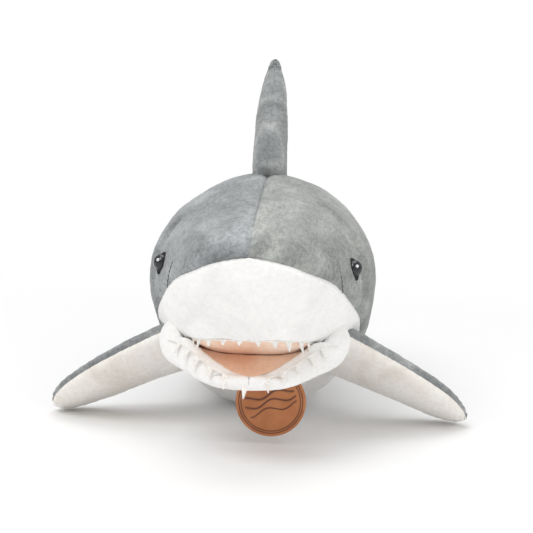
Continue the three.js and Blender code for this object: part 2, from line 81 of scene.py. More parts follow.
def area_light(name, place, size, power, target=(0, -0.08, 0.07)):
    data = bpy.data.lights.new(name, "AREA")
    data.shape, data.size, data.energy = "DISK", size, power
    lamp = bpy.data.objects.new(name, data)
    lamp.location = place
    lamp.rotation_euler = (Vector(target) - Vector(place)).to_track_quat("-Z", "Y").to_euler()
    bpy.context.scene.collection.objects.link(lamp)


WORLD_LEVEL = 0.62       # light from the surround; the camera itself sees it pure white
FADE_FROM, FADE_TO = 0.30, 0.62       # metres from the origin over which the table turns white
FLOOR_HALF, FLOOR_DROP = 6.0, 0.0005


def make_stage():
    world = bpy.data.worlds.new("studio")
    world.use_nodes = True
    sky, tree = world.node_tree.nodes["Background"], world.node_tree
    sky.inputs[0].default_value = (1.0, 1.0, 1.0, 1.0)
    seen = node(tree, "ShaderNodeLightPath")
    level = node(tree, "ShaderNodeMapRange", To_Min=WORLD_LEVEL, To_Max=1.0)
    tree.links.new(seen.outputs["Is Camera Ray"], level.inputs["Value"])
    tree.links.new(level.outputs["Result"], sky.inputs[1])
    bpy.context.scene.world = world
    bpy.context.scene.view_settings.view_transform = "Standard"
    area_light("key", (-0.8, -1.1, 1.7), 1.2, 13.0)
    area_light("fill", (1.2, -1.2, 0.9), 1.4, 5.0)
    area_light("overhead", (0.0, 0.2, 1.8), 1.6, 11.0)
    mesh = bpy.data.meshes.new("floor")
    side = FLOOR_HALF
    mesh.from_pydata([(-side, -side, 0), (side, -side, 0), (side, side, 0), (-side, side, 0)], [],
                     [(0, 1, 2, 3)])
    floor = bpy.data.objects.new("floor", mesh)
    floor.location.z = -FLOOR_DROP
    bpy.context.scene.collection.objects.link(floor)
    floor.data.materials.append(floor_material())


def floor_material():
    """White table round the toy that fades into a plain white surround."""
    mat, tree, bsdf = new_material("floor", 0.9)
    bsdf.inputs["Base Color"].default_value = (0.92, 0.92, 0.92, 1.0)
    where = node(tree, "ShaderNodeTexCoord")
    length = node(tree, "ShaderNodeVectorMath", operation="LENGTH")
    tree.links.new(where.outputs["Object"], length.inputs[0])
    fade = node(tree, "ShaderNodeMapRange", interpolation_type="SMOOTHSTEP")
    fade.inputs["From Min"].default_value, fade.inputs["From Max"].default_value = FADE_FROM, FADE_TO
    tree.links.new(length.outputs["Value"], fade.inputs["Value"])
    white = node(tree, "ShaderNodeEmission", Strength=1.0)
    mix = node(tree, "ShaderNodeMixShader")
    tree.links.new(fade.outputs["Result"], mix.inputs[0])
    tree.links.new(bsdf.outputs[0], mix.inputs[1])
    tree.links.new(white.outputs[0], mix.inputs[2])
    tree.links.new(mix.outputs[0], tree.nodes["Material Output"].inputs["Surface"])
    return mat


# ---- materials --------------------------------------------------------------------------------
def srgb(r, g, b):
    return tuple(c / 12.92 if c <= 0.04045 else ((c + 0.055) / 1.055) ** 2.4
                 for c in (r / 255, g / 255, b / 255)) + (1.0,)


def new_material(name, roughness):
    mat = bpy.data.materials.new(name)
    mat.use_nodes = True
    bsdf = mat.node_tree.nodes["Principled BSDF"]
    bsdf.inputs["Roughness"].default_value = roughness
    return mat, mat.node_tree, bsdf


def node(tree, kind, **values):
    made = tree.nodes.new(kind)
    for key, value in values.items():
        if hasattr(made, key):
            setattr(made, key, value)
        else:
            made.inputs[key.replace("_", " ")].default_value = value
    return made


def scaled_coordinates(tree, scale):
    coords = node(tree, "ShaderNodeTexCoord")
    mapping = node(tree, "ShaderNodeMapping")
    mapping.inputs["Scale"].default_value = scale
    tree.links.new(coords.outputs["Object"], mapping.inputs["Vector"])
    return mapping.outputs["Vector"]


def noise_node(tree, scale, stretch, detail=3.0, distortion=0.0):
    made = node(tree, "ShaderNodeTexNoise", Scale=scale, Detail=detail, Distortion=distortion)
    tree.links.new(scaled_coordinates(tree, stretch), made.inputs["Vector"])
    return made.outputs["Fac"]


def ramp(tree, source, stops):
    made = node(tree, "ShaderNodeValToRGB")
    elements = made.color_ramp.elements
    while len(elements) < len(stops):
        elements.new(0.5)
    for element, (place, colour) in zip(elements, stops):
        element.position, element.color = place, colour
    tree.links.new(source, made.inputs["Fac"])
    return made.outputs["Color"]


def blended(tree, kind, factor, first, second):
    made = node(tree, "ShaderNodeMix", data_type="RGBA", blend_type=kind)
    made.inputs["Factor"].default_value = factor
    tree.links.new(first, made.inputs[6])
    tree.links.new(second, made.inputs[7])
    return made.outputs[2]


def grey_value(v):
    return (v, v, v, 1.0)


def plush_material(name, dark, mid, light, nap=(1.0, 0.45, 1.0), contrast=0.6, sheen=0.35,
                   pile=0.8):
    """Short pile: brushed patches, fibre streaks along the nap, and a clumped, bumpy surface."""
    mat, tree, bsdf = new_material(name, 0.92)
    bsdf.inputs["Sheen Weight"].default_value = sheen
    bsdf.inputs["Sheen Roughness"].default_value = 0.45
    bsdf.inputs["Specular IOR Level"].default_value = 0.2
    patches = noise_node(tree, 26.0, nap, 4.0, 1.2)
    base = ramp(tree, patches, [(0.34, dark), (0.52, mid), (0.68, light)])
    streak_source = noise_node(tree, 420.0, (1.0, 0.3, 1.0), 3.0, 0.6)
    low = 1.0 - contrast * 0.5
    streaks = ramp(tree, streak_source, [(0.32, grey_value(low)), (0.62, grey_value(1.0))])
    fine_source = noise_node(tree, 1500.0, (1.0, 0.35, 1.0), 2.0, 0.0)
    finest = grey_value(1.0 - contrast * 0.35)
    fine = ramp(tree, fine_source, [(0.3, finest), (0.65, grey_value(1.0))])
    colour = blended(tree, "MULTIPLY", 1.0, base, streaks)
    colour = blended(tree, "MULTIPLY", 1.0, colour, fine)
    tree.links.new(colour, bsdf.inputs["Base Color"])
    height = blended(tree, "ADD", 0.6, streaks, fine)
    bump = node(tree, "ShaderNodeBump", Strength=pile, Distance=0.0016)
    tree.links.new(height, bump.inputs["Height"])
    tree.links.new(bump.outputs["Normal"], bsdf.inputs["Normal"])
    return mat


def felt_material(name, colour, shade):
    mat, tree, bsdf = new_material(name, 0.9)
    bsdf.inputs["Sheen Weight"].default_value = 0.2
    tangle = noise_node(tree, 900.0, (1.0, 1.0, 1.0), 5.0, 1.5)
    tree.links.new(ramp(tree, tangle, [(0.35, shade), (0.6, colour)]), bsdf.inputs["Base Color"])
    bump = node(tree, "ShaderNodeBump", Strength=0.4, Distance=0.0005)
    tree.links.new(tangle, bump.inputs["Height"])
    tree.links.new(bump.outputs["Normal"], bsdf.inputs["Normal"])
    return mat


# ---- body shape: the same driving profiles as the CAD trunk, in millimetres -------------------
NOSE_Y, NOSE_Z, SNOUT_Y = -255.0, 132.0, -205.0
LIP_FRONT_Y, NECK_Y, STUMP_Y, TAIL_END_Y = -238.0, -155.0, 196.0, 212.0
HALF_WIDTH = [(-255, 36), (-230, 41), (-205, 47), (-180, 55), (-150, 64.5), (-110, 73.5), (-60, 79),
              (-10, 78), (50, 70.5), (112, 54), (160, 36), (203, 19.5)]
TOP = [(-255, 150), (-205, 152), (-150, 159), (-60, 165.5), (0, 162.5), (60, 146), (112, 119),
       (160, 93), (203, 76)]
BOTTOM = [(-255, 72), (-205, 56), (-165, 51), (-130, 44), (-100, 29), (-75, 13), (-55, 1), (-40, -2),
          (-20, -3), (50, -3), (95, -3), (125, 3), (160, 15), (203, 36)]
MIDDLE = [(-255, 114), (-205, 110), (-150, 99), (-60, 94), (0, 84), (60, 72), (112, 62), (160, 56),
          (203, 57)]
LIP_Z = [(-255, 84), (-238, 82), (-205, 76), (-172, 69.5), (-150, 68)]
COLOUR_SEAM = [(-254.8, 92), (-254.2, 60), (-252.5, 40), (-248, 28), (-240, 20), (-228, 13), (-205, 7),
               (-180, 1), (-160, -6), (-150, -9), (-130, -15), (-100, -23), (-60, -32), (0, -35),
               (112, -30), (203, -22)]


def curve(table):
    xs, ys = (np.array(c, float) for c in zip(*table))
    slopes = np.array([(ys[min(i + 1, len(xs) - 1)] - ys[max(i - 1, 0)])
                       / (xs[min(i + 1, len(xs) - 1)] - xs[max(i - 1, 0)]) for i in range(len(xs))])

    def value(at):
        at = np.asarray(at, float)
        i = np.clip(np.searchsorted(xs, at, side="right") - 1, 0, len(xs) - 2)
        h = xs[i + 1] - xs[i]
        t = np.clip((at - xs[i]) / h, 0.0, 1.0)
        return ((2 * t**3 - 3 * t**2 + 1) * ys[i] + (t**3 - 2 * t**2 + t) * h * slopes[i]
                + (3 * t**2 - 2 * t**3) * ys[i + 1] + (t**3 - t**2) * h * slopes[i + 1])
    return value


half_width, top, bottom, middle = curve(HALF_WIDTH), curve(TOP), curve(BOTTOM), curve(MIDDLE)
lip_z, colour_seam = curve(LIP_Z), curve(COLOUR_SEAM)


def rounding(y):
    return np.sqrt(np.clip(1 - (np.clip((SNOUT_Y - y) / (SNOUT_Y - NOSE_Y), 0, 1)) ** 2, 0, 1))


def skin(y, angle):
    """Point of the body skin in mm; the angle in degrees is 0 at +X and 90 on top."""
    y, a = np.broadcast_arrays(np.asarray(y, float), np.radians(np.asarray(angle, float)))
    r = rounding(y)
    c = NOSE_Z + (middle(y) - NOSE_Z) * r
    up = NOSE_Z + (top(y) - NOSE_Z) * r - c
    down = c - (NOSE_Z - (NOSE_Z - bottom(y)) * r)
    s = np.sin(a)
    stump = np.sqrt(np.clip(1 - (np.clip((y - STUMP_Y) / (TAIL_END_Y - STUMP_Y), 0, 1)) ** 2, 0, 1))
    z = c + np.where(s > 0, up, down) * s * stump
    return np.stack([half_width(y) * r * stump * np.cos(a), y, np.maximum(z, 0.0)], -1)


def lip_angle(y):
    r = rounding(y)
    c = NOSE_Z + (middle(y) - NOSE_Z) * r
    down = c - (NOSE_Z - (NOSE_Z - bottom(y)) * r)
    angle = np.degrees(np.arcsin(np.clip((lip_z(y) - c) / np.maximum(down, 1e-6), -1, 1)))
    return np.where(y < LIP_FRONT_Y, -90.0, angle)


def stations(y0, y1, step):
    """Rows of Y, packed closer round the nose so that they stay evenly spaced on the surface."""
    def to_arc(y):
        nose = SNOUT_Y - NOSE_Y
        round_nose = -np.arcsin(np.clip((SNOUT_Y - y) / nose, 0, 1)) * nose
        return np.where(y < SNOUT_Y, round_nose, y - SNOUT_Y)
    a0, a1 = float(to_arc(np.float64(y0))), float(to_arc(np.float64(y1)))
    arc = np.linspace(a0, a1, max(2, int((a1 - a0) / step)))
    nose = SNOUT_Y - NOSE_Y
    return np.where(arc < 0, SNOUT_Y - nose * np.sin(-arc / nose), SNOUT_Y + arc)


# ---- mesh helpers -----------------------------------------------------------------------------
def grid_normals(points):
    du, dv = np.gradient(points, axis=0), np.gradient(points, axis=1)
    n = np.cross(du, dv)
    size = np.linalg.norm(n, axis=-1, keepdims=True)
    return n / np.maximum(size, 1e-9)


def outward(points, normals, centre):
    side = np.sign(np.sum(normals * (points - centre), axis=-1, keepdims=True))
    return normals * np.where(side == 0, 1, side)


def noise_field(points, scale, seed):
    """Smooth noise from -1 to 1 at each point (mm), with features about 'scale' mm across."""
    flat = points.reshape(-1, 3) / scale
    shift = Vector((seed * 7.3, seed * 3.1, seed * 11.7))
    values = np.array([noise.noise(Vector(p) + shift) for p in flat])
    return values.reshape(points.shape[:-1])


def along(points, axis):
    steps = np.linalg.norm(np.diff(points, axis=axis), axis=-1)
    pad = [(0, 0), (0, 0)]
    pad[axis] = (1, 0)
    return np.cumsum(np.pad(steps, pad), axis=axis)


def mesh_object(name, vertices, faces, material, thickness=0.0, weld=0.0):
    mesh = bpy.data.meshes.new(name)
    mesh.from_pydata([tuple(v * MM) for v in vertices], [], faces)
    bm = bmesh.new()
    bm.from_mesh(mesh)
    if weld:
        bmesh.ops.remove_doubles(bm, verts=bm.verts, dist=weld * MM)
    bmesh.ops.dissolve_degenerate(bm, edges=bm.edges, dist=1e-6)
    bmesh.ops.recalc_face_normals(bm, faces=bm.faces)
    bm.to_mesh(mesh)
    bm.free()
    mesh.polygons.foreach_set("use_smooth", [True] * len(mesh.polygons))
    obj = bpy.data.objects.new(name, mesh)
    bpy.context.scene.collection.objects.link(obj)
    mesh.materials.append(material)
    if thickness:
        shell = obj.modifiers.new("cloth", "SOLIDIFY")
        shell.thickness, shell.offset, shell.use_rim = thickness * MM, -1.0, True
    return obj


def grid_faces(rows, columns, start=0, wrap=False):
    faces = []
    last = columns if wrap else columns - 1
    for i in range(rows - 1):
        for j in range(last):
            a, b = start + i * columns + j, start + i * columns + (j + 1) % columns
            faces.append((a, b, b + columns, a + columns))
    return faces


SEAM_DEPTH, SEAM_WIDTH = 2.0, 2.6     # how far and how wide the fabric rolls in at a seam
PUCKER, PUCKER_PITCH, PUCKER_REACH = 0.45, 7.0, 9.0


def seam_dip(distance, run):
    """Roll towards a seam, plus the small puckers that the stitches pull beside it."""
    roll = SEAM_DEPTH * np.exp(-(distance / SEAM_WIDTH) ** 2)
    pucker = PUCKER * np.cos(2 * np.pi * run / PUCKER_PITCH + 1.7 * np.sin(run / 23.0))
    return roll - pucker * np.exp(-distance / PUCKER_REACH) * (1 - np.exp(-distance / 2.0))


def soften(points, normals, seed, lumps=1.1):
    """Stuffing lumps and the clumped pile, as real relief."""
    relief = lumps * noise_field(points, 34.0, seed) + 0.30 * noise_field(points, 9.0, seed + 1)
    relief += 0.22 * noise_field(points * np.array([1.0, 0.5, 1.0]), 2.6, seed + 2)
    return points + normals * relief[..., None]


# ---- body skins -------------------------------------------------------------------------------
STEP = 1.25     # mesh spacing on the body, mm
CLOTH = 2.0              # thickness of the body fabric, mm
BODY_SEED = 3            # one seed for all body skins, so that their lumps meet at the seams
FACE_FOLD_Y, FACE_FOLD_DEPTH = -118.0, 3.2


def face_fold(y, angle):
    """Shallow slack folds of the fabric behind each eye."""
    crease = FACE_FOLD_Y - 0.28 * (np.abs(90 - angle) - 50)
    window = np.exp(-((np.abs(90 - angle) - 68) / 26.0) ** 2)
    valley = np.exp(-((y - crease) / 5.0) ** 2)
    ridge = 0.7 * np.exp(-((y - crease - 12) / 8.0) ** 2)
    return window * (valley - ridge)


def back_skin(side, rows, columns):
    low = np.minimum(colour_seam(rows), 89.0)
    t = np.linspace(0, 1, columns)
    angle = low[:, None] + (90.0 - low[:, None]) * t[None, :]
    if side < 0:
        angle = 180 - angle
    points = skin(rows[:, None], angle)
    normals = outward(points, grid_normals(points), np.array([0, 0, 90.0]) + points * [0, 1, 0])
    across, run = along(points, 1), along(points, 0)
    nose = np.clip((rows + 255) / 14, 0.1, 1)[:, None]
    dip = (seam_dip(across, run) + seam_dip(across[:, -1:] - across, run)) * nose
    dip += FACE_FOLD_DEPTH * face_fold(rows[:, None], angle) * nose
    return soften(points - normals * dip[..., None], normals, BODY_SEED)


def make_back(side, name, material, nodes):
    rows = stations(-254.9, TAIL_END_Y, STEP)
    columns = int(118 / STEP)
    points = back_skin(side, rows, columns)
    obj = mesh_object(name, points.reshape(-1, 3), grid_faces(len(rows), columns), material, CLOTH)
    return finish_skin(obj, nodes, "grey_plush", "root", "tail")


def make_belly(material):
    rows = stations(NECK_Y - 3, TAIL_END_Y, STEP)
    columns = int(210 / STEP)
    high = colour_seam(rows)
    t = np.linspace(0, 1, columns)
    angle = high[:, None] + (-180 - 2 * high[:, None]) * t[None, :]
    points = skin(rows[:, None], angle)
    normals = outward(points, grid_normals(points), np.array([0, 0, 80.0]) + points * [0, 1, 0])
    across, run = along(points, 1), along(points, 0)
    dip = seam_dip(across, run) + seam_dip(across[:, -1:] - across, run)
    points = soften(points - normals * dip[..., None], normals, BODY_SEED)
    points[..., 2] = np.maximum(points[..., 2], 0.0)
    obj = mesh_object("belly", points.reshape(-1, 3), grid_faces(len(rows), columns), material, CLOTH)
    return finish_skin(obj, ["belly_panel", "tail_belly"], "cream_plush", "root", "tail")


def make_snout(material):
    vertices, faces = [], []
    rows = stations(-255.0, NECK_Y + 0.4, STEP)
    columns = int(84 / STEP)
    for side in (1, -1):
        high = np.minimum(colour_seam(rows), 90.0)
        low = lip_angle(rows)
        t = np.linspace(0, 1, columns)
        angle = low[:, None] + (high - low)[:, None] * t[None, :]
        points = skin(rows[:, None], angle)
        normals = outward(points, grid_normals(points), np.array([0, -215.0, 112.0]) + points * 0)
        across, run = along(points, 1), along(points, 0)
        from_top = across[:, -1:] - across
        has_seam = np.clip((high - 90.0) / -8.0, 0, 1)[:, None]
        has_lip = np.clip((rows - LIP_FRONT_Y + 3) / 5.0, 0, 1)[:, None]
        dip = seam_dip(from_top, run) * has_seam
        dip += 1.2 * np.exp(-(across / 1.6) ** 2) * has_lip
        centre = np.abs(points[..., :1]) < 1e-3
        normals = np.where(centre, normals * [0, 1, 1], normals)
        normals /= np.maximum(np.linalg.norm(normals, axis=-1, keepdims=True), 1e-9)
        points = soften(points - normals * dip[..., None], normals, BODY_SEED, 0.8)
        points = points * np.array([side, 1, 1])
        start = len(vertices)
        vertices.extend(points.reshape(-1, 3))
        faces.extend(grid_faces(len(rows), columns, start))
    obj = mesh_object("snout", vertices, faces, material, CLOTH, weld=0.02)
    return finish_skin(obj, ["snout_panel"], "white_plush", "root")


def finish_skin(obj, nodes, slot, body, second=None):
    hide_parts(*nodes)
    if second is None:
        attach(obj, body)
    else:
        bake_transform(obj)
    return obj


# ---- fins -------------------------------------------------------------------------------------
PEC_SPAN, PEC_ROOT, PEC_TIP, PEC_SWEEP, PEC_HALF, PEC_TIP_HALF = 88.0, 76.0, 50.0, 16.0, 12.5, 9.0
PEC_TURN = Matrix.Rotation(math.radians(24), 3, "Y") @ Matrix.Rotation(math.radians(-27), 3, "X")
PEC_AT = np.array([66.0, -100.0])


def round_tip(s):
    return np.sqrt(np.clip(1 - np.abs(s) ** 5, 0, 1))


def pectoral(s, a):
    c = (PEC_ROOT + (PEC_TIP - PEC_ROOT) * s) * round_tip(s) / 2
    h = (PEC_HALF + (PEC_TIP_HALF - PEC_HALF) * s) * round_tip(s)
    y = PEC_SWEEP * s * s + c * np.cos(a)
    return np.stack(np.broadcast_arrays(PEC_SPAN * s, y, h * np.sin(a)), -1)


def dorsal(s, a):
    front = -46 + 80 * np.abs(s) ** 1.15
    back = 38 - 14 * s + 34 * s * s
    y = (front + back) / 2 + (back - front) / 2 * round_tip(s) * np.cos(a)
    h = 12.6 * (1 - 0.35 * s * s) * round_tip(s)
    return np.stack(np.broadcast_arrays(h * np.sin(a), y, 172 + 75 * s - 0.1 * (y + 46) * (1 - s)), -1)


PEDUNCLE_Z = 58.0


def caudal(t, a):
    s = 2 * t - 1
    k = np.abs(s)
    z = 70 + 66 * s
    near = np.exp(-((z - PEDUNCLE_Z) / 15.0) ** 2)
    front = 214 + 25 * k ** 1.6 - 15 * near
    back = 244.4 + 19 * k ** 2
    tip = np.sqrt(np.clip(1 - k ** 4, 0, 1))
    h = (10 - 3 * k) * tip
    return np.stack(np.broadcast_arrays(h * np.sin(a), (front + back) / 2 + (back - front) / 2 * tip
                                        * np.cos(a), z), -1)


def fin_half(name, surface, s_rows, start, material, place, seed, lumps=0.7):
    """One sewn face of a fin: half a turn of its section, rolled in at both seams."""
    columns = 84
    angle = np.radians(start + np.linspace(0.0, 180.0, columns))
    points = surface(s_rows[:, None], angle[None, :])
    spine = points.mean(axis=1, keepdims=True)
    normals = outward(points, grid_normals(points), spine)
    across, run = along(points, 1), along(points, 0)
    width = across[:, -1:]
    edge = np.clip(width / 20.0, 0, 1)
    dip = (seam_dip(across, run) + seam_dip(width - across, run)) * edge * 0.75
    points = points - normals * dip[..., None]
    points = place(points)
    normals = outward(points, grid_normals(points), place(spine))
    tip = np.clip(width / 14.0, 0, 1)[..., None]
    points = points + (soften(points, normals, seed, lumps) - points) * tip
    return mesh_object(name, points.reshape(-1, 3), grid_faces(len(s_rows), columns), material, 0.8,
                       weld=0.01)


def eased(start, end, count, power=1.9):
    return start + (end - start) * (1 - (1 - np.linspace(0, 1, count)) ** power)


def make_pectorals(grey, white):
    turn = np.array(PEC_TURN)
    rows = eased(-0.26, 1.0, 80)
    sample = pectoral(np.linspace(0, 1, 40)[:, None], np.linspace(0, 2 * np.pi, 40)[None, :]) @ turn.T
    shift = np.array([PEC_AT[0], PEC_AT[1], 0.6 - sample[..., 2].min()])
    for side, body in ((1, "fin_left"), (-1, "fin_right")):
        def place(points, side=side):
            return (points @ turn.T + shift) * np.array([side, 1, 1])
        joint = next(j for j in frame["joints"] if j["child"] == body)
        hinge = Vector(joint["pos_m"])
        spanwise = Vector(turn @ np.array([1.0, 0, 0]))
        spanwise.x *= side
        for face, start, look, slot in (("top", 0, grey, "grey_plush"),
                                        ("bottom", 180, white, "white_plush")):
            obj = fin_half(f"{body}_{face}_skin", pectoral, rows, start, look, place, 5 + side)
            keep_above_floor(obj)
            finish_skin(obj, [f"{body}_{face}_panel"], slot, "root", body)


def keep_above_floor(obj):
    for v in obj.data.vertices:
        v.co.z = max(v.co.z, 0.0)


def make_dorsal(grey):
    rows = eased(-0.16, 1.0, 80)
    for face, start in (("left", 0), ("right", 180)):
        obj = fin_half(f"dorsal_{face}_skin", dorsal, rows, start, grey, lambda p: p, 9, 0.9)
        finish_skin(obj, [f"dorsal_{face}_panel"], "grey_plush", "root", "dorsal_fin")


def make_caudal(grey):
    half = np.linspace(0, 1, 60)
    rows = (1 - np.cos(half * np.pi)) / 2
    for face, start in (("left", 0), ("right", 180)):
        obj = fin_half(f"caudal_{face}_skin", caudal, rows, start, grey, lambda p: p, 12)
        finish_skin(obj, [f"caudal_{face}_panel"], "grey_plush", "tail", "caudal_fin")


# ---- mouth ------------------------------------------------------------------------------------
JAW_FRONT_Y, JAW_BACK_Y, JAW_DEPTH = -219.0, -162.5, 13.0
JAW_FRONT_Z, JAW_BACK_Z = 56.0, 65.0
CORNER_Y, FOLD_Y = -174.0, -186.0
CHIN_Y, CHEEK_Y, CHEEK_HALF = -223.5, -160.0, 59.0
LIP_IN_Y, LIP_IN_HALF = -217.5, 46.0


def smoothstep(a, b, x):
    t = np.clip((x - a) / (b - a), 0, 1)
    return t * t * (3 - 2 * t)


def arch(y, back, front):
    """1 at the back of a rounded outline, falling to 0 at its front."""
    return np.sqrt(np.clip(1 - np.clip((back - y) / (back - front), 0, 1) ** 2, 0, 1))


def jaw_lip(y):
    return JAW_FRONT_Z + (JAW_BACK_Z - JAW_FRONT_Z) * (y - JAW_FRONT_Y) / (JAW_BACK_Y - JAW_FRONT_Y)


def jaw_edge(y):
    """Height of the lower lip: lowest in the middle, it climbs to close with the upper lip."""
    aside = LIP_IN_HALF * arch(y, CORNER_Y + 4, LIP_IN_Y)
    climb = JAW_FRONT_Z + 8.5 * (aside / 22.0) ** 1.5
    most = lip_z(y) - 0.8
    return most - np.logaddexp(0.0, (most - climb) / 1.5) * 1.5


def lip_half(y):
    return skin(y, lip_angle(y))[..., 0]


def jaw_inner(y):
    """Half width of the opening between the two sides of the lower lip."""
    inside = LIP_IN_HALF * arch(y, CORNER_Y + 4, LIP_IN_Y)
    return inside + (lip_half(y) - 2.5 - inside) * smoothstep(CORNER_Y, CHEEK_Y, y)


def jaw_outer(y):
    tuck = smoothstep(CHEEK_Y, -147.0, y)
    return CHEEK_HALF * arch(y, CHEEK_Y, CHIN_Y) * (1 - tuck) + (lip_half(y) - 6.0) * tuck


def jaw_low(y):
    low = jaw_lip(y) - 2.0 - JAW_DEPTH * arch(y, JAW_BACK_Y, CHIN_Y) * 0.78
    return low + (55.5 - low) * smoothstep(-170.0, -160.5, y)


def rounded_rows(back, front, y1, count):
    """Rows of Y spaced evenly round a rounded outline, from its front on to y1."""
    turn = np.linspace(0.0, 1.0, count)
    arc = (back - front) * math.pi / 2
    run = turn * (arc + y1 - back)
    return np.where(run < arc, back - (back - front) * np.cos(run / (back - front)), back + run - arc)


def jaw_section(y, v):
    """Half section of the lower jaw: 0 inside the lip, 0.2 its crown, 0.55 the side, 1 underneath."""
    inner, outer = jaw_inner(y), np.maximum(jaw_outer(y), 0.05)
    inner = np.minimum(inner, outer * 0.86)
    cheek = smoothstep(-192.0, -160.0, y)
    crown_x = inner + (0.34 - 0.10 * cheek) * (outer - inner)
    crown_z = jaw_edge(y) + 0.6 + 12.0 * cheek
    low = jaw_low(y)
    side_z = crown_z - 0.42 * (crown_z - low)
    a = np.clip(v / 0.2, 0, 1) * np.pi / 2
    b = np.clip((v - 0.2) / 0.35, 0, 1) * np.pi / 2
    c = np.clip((v - 0.55) / 0.45, 0, 1) * np.pi / 2
    x = np.where(v < 0.2, inner + (crown_x - inner) * (1 - np.cos(a)),
                 np.where(v < 0.55, crown_x + (outer - crown_x) * np.sin(b), outer * np.cos(c) ** 0.92))
    z = np.where(v < 0.2, crown_z - 4.6 * (1 - np.sin(a)),
                 np.where(v < 0.55, side_z + (crown_z - side_z) * np.cos(b),
                          side_z - (side_z - low) * np.sin(c) ** 1.1))
    return x, z


def make_jaw(material):
    rows = rounded_rows(CHEEK_Y, CHIN_Y, -147.0, 84)[:, None]
    half = np.linspace(0, 1, 80)
    v = np.concatenate([half, half[-2::-1]])[None, :]
    side = np.concatenate([np.ones(len(half)), -np.ones(len(half) - 1)])[None, :]
    x, z = jaw_section(rows, v)
    points = np.stack(np.broadcast_arrays(x * side, rows, z), -1)
    crown = np.stack(np.broadcast_arrays(0.72 * x * side, rows + 5, z * 0 + jaw_edge(rows) - 5), -1)
    normals = outward(points, grid_normals(points), crown)
    calm = np.clip((rows - CHIN_Y) / 10.0, 0, 1)[..., None]
    points = points + (soften(points, normals, 4, 0.9) - points) * calm
    obj = mesh_object("jaw_skin", points.reshape(-1, 3), grid_faces(*points.shape[:2]), material, 1.6,
                      weld=0.01)
    finish_skin(obj, ["jaw_panel"], "cream_plush", "root", "jaw")


def sheet_object(name, x, y, z, material, thickness, seed, bumps=0.35):
    points = np.stack(np.broadcast_arrays(x, y, z), -1)
    normals = np.zeros_like(points)
    normals[..., 2] = 1.0
    points = points + normals * (bumps * noise_field(points, 7.0, seed))[..., None]
    return mesh_object(name, points.reshape(-1, 3), grid_faces(*points.shape[:2]), material, thickness)


def palate_z(y, v):
    droop = 10.5 * smoothstep(-240, -190, y)
    ripple = 0.8 * np.cos(np.pi * v) * smoothstep(-236, -220, y)
    return lip_z(y) + 0.6 - droop * (1 - np.abs(v) ** 3) + ripple


def make_palate(material):
    y = stations(LIP_FRONT_Y + 0.8, -168.0, 1.6)[:, None]
    v = np.linspace(-1, 1, 70)[None, :]
    obj = sheet_object("palate", (lip_half(y) - 1.6) * v, y, palate_z(y, v), material, 1.2, 6)
    finish_skin(obj, ["palate_panel"], "peach_lining", "root")


def make_lining(material):
    y = rounded_rows(CORNER_Y + 4, LIP_IN_Y + 1.2, -168.0, 50)[:, None]
    v = np.linspace(-1, 1, 70)[None, :]
    half = jaw_inner(y) + 1.2
    dish = jaw_edge(y) - 1.4 - 3.0 * (1 - v ** 2) * np.clip(jaw_inner(y) / 30.0, 0, 1)
    back = palate_z(y, v) - 0.6
    rise = smoothstep(FOLD_Y - 16, FOLD_Y, y)
    z = np.minimum(dish + (back - dish) * rise, back)
    obj = sheet_object("jaw_lining_skin", half * v, y, z, material, 1.2, 8)
    finish_skin(obj, ["jaw_lining"], "peach_lining", "root", "jaw")


def felt_tooth(bm, root, along_lip, down, out, width, length, thick):
    """A cut felt point: a slightly curved triangle with a blunt tip."""
    outline = [(-0.5, 0.0), (-0.42, 0.22), (-0.25, 0.55), (-0.1, 0.9), (0.0, 1.0), (0.1, 0.9),
               (0.25, 0.55), (0.42, 0.22), (0.5, 0.0)]
    front, back = [], []
    for a, d in outline:
        bend = 0.10 * length * d * d
        p = root + along_lip * (a * width) + down * (d * length) + out * bend
        front.append(bm.verts.new((p + out * thick / 2) * MM))
        back.append(bm.verts.new((p - out * thick / 2) * MM))
    bm.faces.new(front)
    bm.faces.new(back[::-1])
    for i in range(len(outline)):
        j = (i + 1) % len(outline)
        bm.faces.new((front[j], front[i], back[i], back[j]))


def felt_strip(name, line, normal, teeth, band, thick, lean, material):
    """Felt band along a lip with its points; teeth is a list of (place, width, length)."""
    bm = bmesh.new()
    steps = 90
    rings = []
    for i in range(steps + 1):
        t = -1 + 2 * i / steps
        p, out = line(t), normal(t)
        down = (Vector((0, 0, -1)) + out * lean).normalized()
        wave = 0.25 * math.sin(t * 37.0)
        ring = [p + out * (thick / 2), p + down * (band + wave) + out * (thick / 2),
                p + down * (band + wave) - out * (thick / 2), p - out * (thick / 2)]
        rings.append([bm.verts.new(q * MM) for q in ring])
    for a, b in zip(rings, rings[1:]):
        for k in range(4):
            m = (k + 1) % 4
            bm.faces.new((a[k], a[m], b[m], b[k]))
    bm.faces.new(rings[0][::-1])
    bm.faces.new(rings[-1])
    for i, (t, width, length) in enumerate(teeth):
        p, out = line(t), normal(t)
        side = (line(min(t + 0.01, 1)) - line(max(t - 0.01, -1))).normalized()
        down = (Vector((0, 0, -1)) + out * lean + side * (0.14 * math.sin(i * 2.3))).normalized()
        felt_tooth(bm, p + down * (band - 0.5), side, down, out, width, length, thick)
    bmesh.ops.recalc_face_normals(bm, faces=bm.faces)
    mesh = bpy.data.meshes.new(name)
    bm.to_mesh(mesh)
    bm.free()
    obj = bpy.data.objects.new(name, mesh)
    bpy.context.scene.collection.objects.link(obj)
    mesh.materials.append(material)
    soft = obj.modifiers.new("cut edge", "BEVEL")
    soft.width, soft.segments, soft.limit_method = 0.0002, 2, "ANGLE"
    return obj


